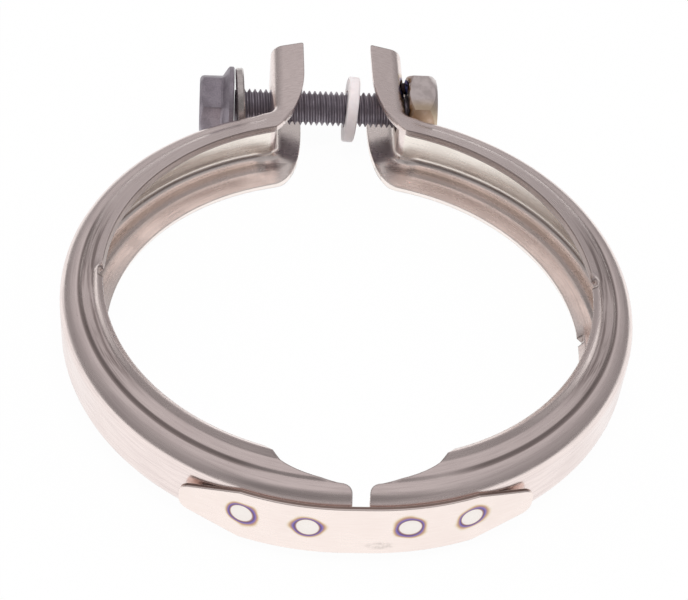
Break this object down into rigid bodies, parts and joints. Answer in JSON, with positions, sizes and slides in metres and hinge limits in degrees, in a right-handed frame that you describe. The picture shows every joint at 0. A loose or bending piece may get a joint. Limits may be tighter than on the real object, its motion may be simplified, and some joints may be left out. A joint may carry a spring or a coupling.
{
  "type": "v band clamp",
  "caption": "V-band clamp: two channel halves joined by a spring strap, which a flange bolt through two ears pulls tight around a pair of flanged pipes.",
  "frame": {"origin": "middle of the ring, halfway up the channel", "axes": "+Z along the ring's axis, +Y from the hinge strap towards the ears, +X along the bolt from its head to the nut"},
  "size_m": [0.1158, 0.1334, 0.0188],
  "materials": {
    "stainless_band": "satin",
    "stainless_strap": "satin",
    "zinc_bolt": "matt",
    "steel_nut": "satin",
    "steel_washer": "satin",
    "nylon": "satin"
  },
  "bodies": {
    "left_half": {"band_half_left": "stainless_band", "hinge_strap": "stainless_strap"},
    "right_half": {"band_half_right": "stainless_band", "weld_nut": "steel_nut"},
    "washer": {"head_washer": "steel_washer"},
    "bolt": {"clamp_bolt": "zinc_bolt"},
    "retainer": {"retaining_washer": "nylon"}
  },
  "joints": [
    {"name": "clamp_close", "type": "hinge", "parent": "left_half", "child": "right_half", "pos_m": [0, -0.0563, 0], "axis": [0, 0, 1], "range_deg": [-0.86, 4.3], "deforming": ["hinge_strap"]},
    {"name": "bolt_feed", "type": "slide", "parent": "right_half", "child": "washer", "axis": [1, 0, 0], "range_m": [-0.0025, 0.0125]},
    {"name": "bolt_turn", "type": "hinge", "parent": "washer", "child": "bolt", "pos_m": [0, 0.0635, 0], "axis": [1, 0, 0], "range_deg": [-720, 3600]},
    {"name": "retainer_slide", "type": "slide", "parent": "right_half", "child": "retainer", "axis": [1, 0, 0], "range_m": [-0.0003, 0.0025]}
  ],
  "couplings": [
    {"joint": "clamp_close", "follows": "bolt_turn", "ratio": 0.0011944},
    {"joint": "bolt_feed", "follows": "bolt_turn", "m_per_rad": 0.00019894}
  ]
}
